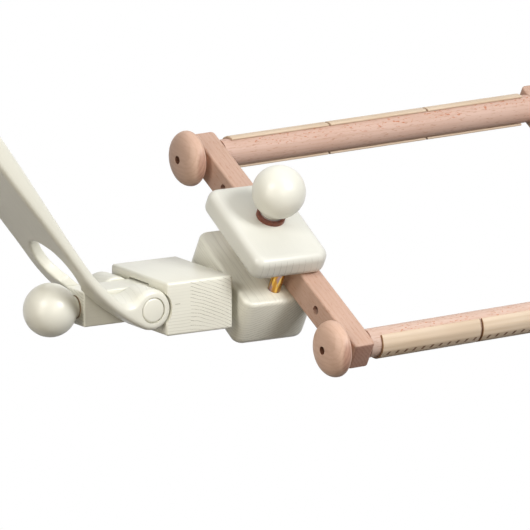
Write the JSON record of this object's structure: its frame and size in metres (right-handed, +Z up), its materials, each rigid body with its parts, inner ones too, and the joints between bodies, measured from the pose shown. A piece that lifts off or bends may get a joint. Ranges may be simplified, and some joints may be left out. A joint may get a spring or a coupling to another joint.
{
  "type": "embroidery floor stand",
  "caption": "Wooden floor stand for embroidery with a swivelling arm, tilting clamp jaws and a scroll frame with clip-on roller fasteners.",
  "frame": {"origin": "on the floor under the middle of the column", "axes": "+X along the rollers, away from the column; +Y away from the stitcher; +Z up"},
  "size_m": [1.0363, 0.46, 1.011],
  "materials": {
    "cream_lacquer": "cream white semi-gloss lacquer over open-pored wood",
    "beech": "oiled pinkish beech with fine flecks",
    "pale_wood": "pale yellow bare wood",
    "leather": "red-brown smooth",
    "yellow_zinc": "yellow passivated zinc",
    "zinc_steel": "bright zinc plated",
    "insert_brass": "plain"
  },
  "bodies": {
    "base": {"column_foot": "cream_lacquer", "base_rail": "cream_lacquer", "end_foot": "cream_lacquer", "rail_bolts": "zinc_steel", "barrel_nuts": "zinc_steel", "rail_dowels": "pale_wood", "outer_column": "cream_lacquer", "column_screws": "zinc_steel", "column_insert": "insert_brass"},
    "column_knob": {"column_ball_knob": "cream_lacquer", "column_stud": "zinc_steel"},
    "post": {"inner_post": "cream_lacquer", "post_cap": "cream_lacquer", "swivel_insert": "insert_brass"},
    "swivel_knob": {"swivel_ball_knob": "cream_lacquer", "swivel_stud": "zinc_steel"},
    "shoulder": {"shoulder_block": "cream_lacquer", "swivel_pin": "zinc_steel", "swivel_washer": "leather", "shoulder_hinge_block": "cream_lacquer", "shoulder_pin": "cream_lacquer", "shoulder_bolt": "zinc_steel", "shoulder_insert": "insert_brass", "shoulder_washer": "zinc_steel"},
    "shoulder_knob": {"shoulder_ball_knob": "cream_lacquer", "shoulder_knob_insert": "insert_brass"},
    "arm": {"arm": "cream_lacquer"},
    "head": {"swivel_block": "cream_lacquer", "hinge_block": "cream_lacquer", "hinge_pin": "cream_lacquer", "hinge_washer": "zinc_steel"},
    "hinge_knob": {"hinge_ball_knob": "cream_lacquer", "hinge_knob_insert": "insert_brass"},
    "jaw": {"lower_jaw": "cream_lacquer", "tilt_washer": "leather", "tilt_bolt": "zinc_steel", "tilt_insert": "insert_brass", "guide_pins": "yellow_zinc", "clamp_bolt": "zinc_steel"},
    "upper_jaw": {"upper_jaw": "cream_lacquer", "leather_washer": "leather", "clamp_washer": "zinc_steel"},
    "clamp_knob": {"clamp_ball_knob": "cream_lacquer", "clamp_knob_insert": "insert_brass"},
    "scroll_frame": {"left_side_bar": "beech", "right_side_bar": "beech"},
    "front_roller": {"front_roller": "beech", "front_roller_clips": "pale_wood", "front_roller_studs": "zinc_steel"},
    "back_roller": {"back_roller": "beech", "back_roller_clips": "pale_wood", "back_roller_studs": "zinc_steel"},
    "front_left_knob": {"front_left_knob": "beech"},
    "front_right_knob": {"front_right_knob": "beech"},
    "back_left_knob": {"back_left_knob": "beech"},
    "back_right_knob": {"back_right_knob": "beech"}
  },
  "joints": [
    {"name": "post_height", "type": "slide", "parent": "base", "child": "post", "axis": [0, 0, 1], "range_m": [-0.06, 0.15]},
    {"name": "shoulder_swivel", "type": "hinge", "parent": "post", "child": "shoulder", "pos_m": [0, 0, 0.95601], "axis": [0, 0, 1], "range_deg": [-40, 40]},
    {"name": "arm_hinge", "type": "hinge", "parent": "shoulder", "child": "arm", "pos_m": [0.051, 0, 0.98501], "axis": [0, 1, 0], "range_deg": [-14, 20]},
    {"name": "head_hinge", "type": "hinge", "parent": "arm", "child": "head", "pos_m": [0.39926, 0, 0.62], "axis": [0, 1, 0], "range_deg": [-45, 14]},
    {"name": "frame_tilt", "type": "hinge", "parent": "head", "child": "jaw", "pos_m": [0.39926, 0, 0.62], "axis": [1, 0, 0], "range_deg": [-60, 60]},
    {"name": "jaw_opening", "type": "slide", "parent": "jaw", "child": "upper_jaw", "axis": [0, -0.5, 0.866], "range_m": [0, 0.012]},
    {"name": "frame_along_jaws", "type": "slide", "parent": "jaw", "child": "scroll_frame", "axis": [-0.0419, 0.8653, 0.4996], "range_m": [-0.05, 0.05]},
    {"name": "front_roller_turn", "type": "hinge", "parent": "scroll_frame", "child": "front_roller", "pos_m": [0.5738, -0.15225, 0.58671], "axis": [0.9991, 0.0363, 0.0209], "continuous": true},
    {"name": "back_roller_turn", "type": "hinge", "parent": "scroll_frame", "child": "back_roller", "pos_m": [0.56173, 0.09712, 0.73069], "axis": [0.9991, 0.0363, 0.0209], "continuous": true},
    {"name": "front_left_knob_turn", "type": "hinge", "parent": "front_roller", "child": "front_left_knob", "pos_m": [0.54953, -0.15313, 0.58621], "axis": [0.9991, 0.0363, 0.0209], "continuous": true},
    {"name": "front_right_knob_turn", "type": "hinge", "parent": "front_roller", "child": "front_right_knob", "pos_m": [0.96516, -0.13805, 0.59492], "axis": [0.9991, 0.0363, 0.0209], "continuous": true},
    {"name": "back_left_knob_turn", "type": "hinge", "parent": "back_roller", "child": "back_left_knob", "pos_m": [0.53746, 0.09624, 0.73018], "axis": [0.9991, 0.0363, 0.0209], "continuous": true},
    {"name": "back_right_knob_turn", "type": "hinge", "parent": "back_roller", "child": "back_right_knob", "pos_m": [0.95309, 0.11132, 0.73889], "axis": [0.9991, 0.0363, 0.0209], "continuous": true},
    {"name": "column_knob_turn", "type": "hinge", "parent": "base", "child": "column_knob", "pos_m": [0, -0.035, 0.437], "axis": [0, 1, 0], "continuous": true},
    {"name": "swivel_knob_turn", "type": "hinge", "parent": "post", "child": "swivel_knob", "pos_m": [0, -0.0227, 0.90801], "axis": [0, 1, 0], "continuous": true},
    {"name": "shoulder_knob_turn", "type": "hinge", "parent": "shoulder", "child": "shoulder_knob", "pos_m": [0.1076, 0, 0.98501], "axis": [1, 0, 0], "continuous": true},
    {"name": "hinge_knob_turn", "type": "hinge", "parent": "head", "child": "hinge_knob", "pos_m": [0.34266, 0, 0.62], "axis": [1, 0, 0], "continuous": true},
    {"name": "clamp_knob_turn", "type": "hinge", "parent": "upper_jaw", "child": "clamp_knob", "pos_m": [0.53476, -0.04575, 0.69924], "axis": [0, -0.5, 0.866], "continuous": true}
  ]
}
